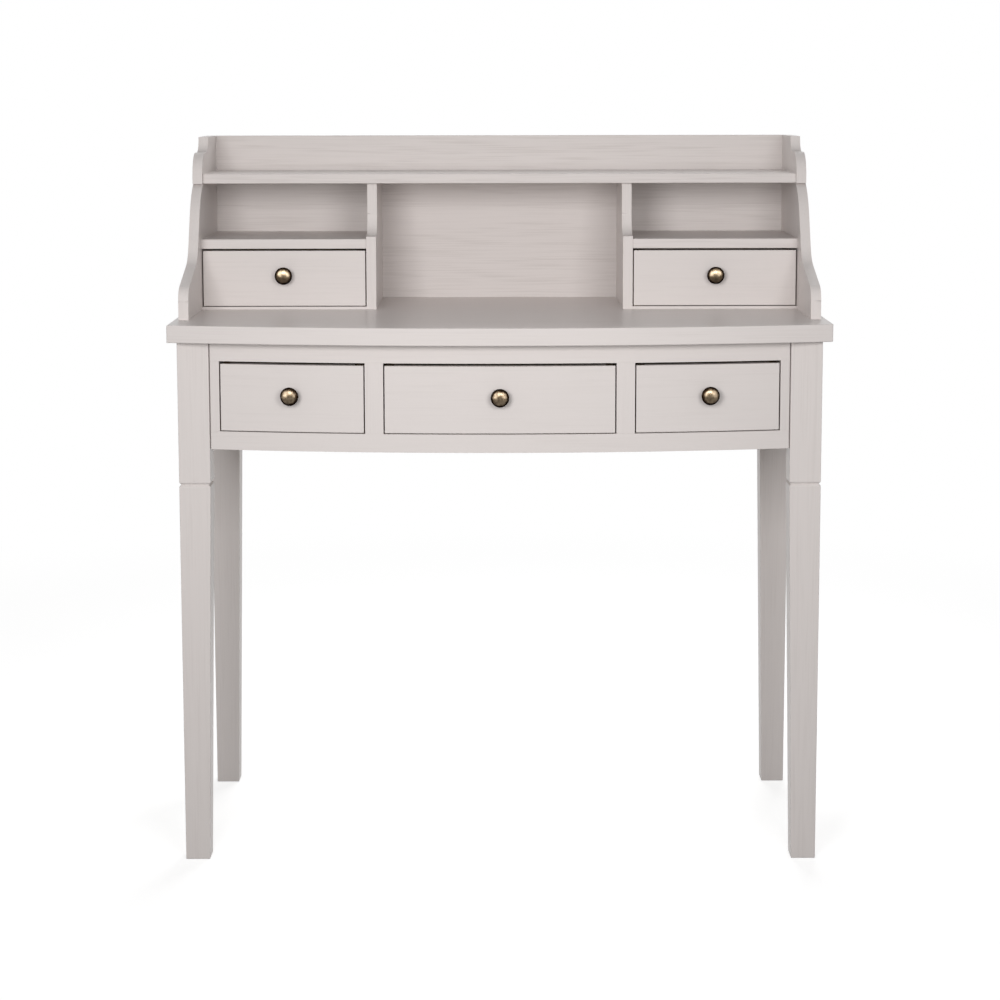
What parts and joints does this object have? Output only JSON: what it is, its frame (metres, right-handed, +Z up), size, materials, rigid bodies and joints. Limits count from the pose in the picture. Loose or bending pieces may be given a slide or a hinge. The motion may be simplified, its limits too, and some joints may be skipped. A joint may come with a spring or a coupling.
{
  "type": "writing desk with hutch",
  "caption": "Painted bow-front writing desk on tapered square legs, with inset drawers under the top and a low scroll-sided hutch of shelves and small drawers at the back.",
  "frame": {"origin": "on the floor, under the middle of the desk's box", "axes": "+Z up, -Y out of the bowed front towards the sitter, +X to the right as seen from the front"},
  "size_m": [0.9, 0.4999, 0.994],
  "materials": {
    "painted_wood": "satin warm grey paint",
    "drawer_wood": "bare planed wood",
    "drawer_panel": "bare thin panel",
    "frame_wood": "bare sawn wood",
    "antique_brass": "aged, polished high spots",
    "screw_steel": "zinc plated"
  },
  "bodies": {
    "desk": {"back_apron": "painted_wood", "back_panel_screws": "screw_steel", "desk_top": "painted_wood", "drawer_guides": "frame_wood", "drawer_kickers": "frame_wood", "drawer_runners": "frame_wood", "front_bottom_rail": "painted_wood", "front_muntin_left": "painted_wood", "front_muntin_right": "painted_wood", "front_stile_left": "painted_wood", "front_stile_right": "painted_wood", "front_top_rail": "painted_wood", "hutch_back_panel": "painted_wood", "hutch_divider_left": "painted_wood", "hutch_divider_right": "painted_wood", "hutch_drawer_floor_left": "painted_wood", "hutch_drawer_floor_right": "painted_wood", "hutch_screws": "screw_steel", "hutch_shelf_left": "painted_wood", "hutch_shelf_right": "painted_wood", "hutch_side_left": "painted_wood", "hutch_side_right": "painted_wood", "hutch_top_shelf": "painted_wood", "leg_back_left": "painted_wood", "leg_back_right": "painted_wood", "leg_front_left": "painted_wood", "leg_front_right": "painted_wood", "side_apron_left": "painted_wood", "side_apron_right": "painted_wood", "top_screws": "screw_steel"},
    "left_drawer": {"left_drawer_front": "painted_wood", "left_drawer_side_left": "drawer_wood", "left_drawer_side_right": "drawer_wood", "left_drawer_back": "drawer_wood", "left_drawer_bottom": "drawer_panel", "left_drawer_knob": "antique_brass"},
    "middle_drawer": {"middle_drawer_front": "painted_wood", "middle_drawer_side_left": "drawer_wood", "middle_drawer_side_right": "drawer_wood", "middle_drawer_back": "drawer_wood", "middle_drawer_bottom": "drawer_panel", "middle_drawer_knob": "antique_brass"},
    "right_drawer": {"right_drawer_front": "painted_wood", "right_drawer_side_left": "drawer_wood", "right_drawer_side_right": "drawer_wood", "right_drawer_back": "drawer_wood", "right_drawer_bottom": "drawer_panel", "right_drawer_knob": "antique_brass"},
    "hutch_left_drawer": {"hutch_left_drawer_front": "painted_wood", "hutch_left_drawer_side_left": "drawer_wood", "hutch_left_drawer_side_right": "drawer_wood", "hutch_left_drawer_back": "drawer_wood", "hutch_left_drawer_bottom": "drawer_panel", "hutch_left_drawer_knob": "antique_brass"},
    "hutch_right_drawer": {"hutch_right_drawer_front": "painted_wood", "hutch_right_drawer_side_left": "drawer_wood", "hutch_right_drawer_side_right": "drawer_wood", "hutch_right_drawer_back": "drawer_wood", "hutch_right_drawer_bottom": "drawer_panel", "hutch_right_drawer_knob": "antique_brass"}
  },
  "joints": [
    {"name": "left_drawer_slide", "type": "slide", "parent": "desk", "child": "left_drawer", "axis": [0, -1, 0], "range_m": [0, 0.27]},
    {"name": "middle_drawer_slide", "type": "slide", "parent": "desk", "child": "middle_drawer", "axis": [0, -1, 0], "range_m": [0, 0.27]},
    {"name": "right_drawer_slide", "type": "slide", "parent": "desk", "child": "right_drawer", "axis": [0, -1, 0], "range_m": [0, 0.27]},
    {"name": "hutch_left_drawer_slide", "type": "slide", "parent": "desk", "child": "hutch_left_drawer", "axis": [0, -1, 0], "range_m": [0, 0.15]},
    {"name": "hutch_right_drawer_slide", "type": "slide", "parent": "desk", "child": "hutch_right_drawer", "axis": [0, -1, 0], "range_m": [0, 0.15]}
  ]
}
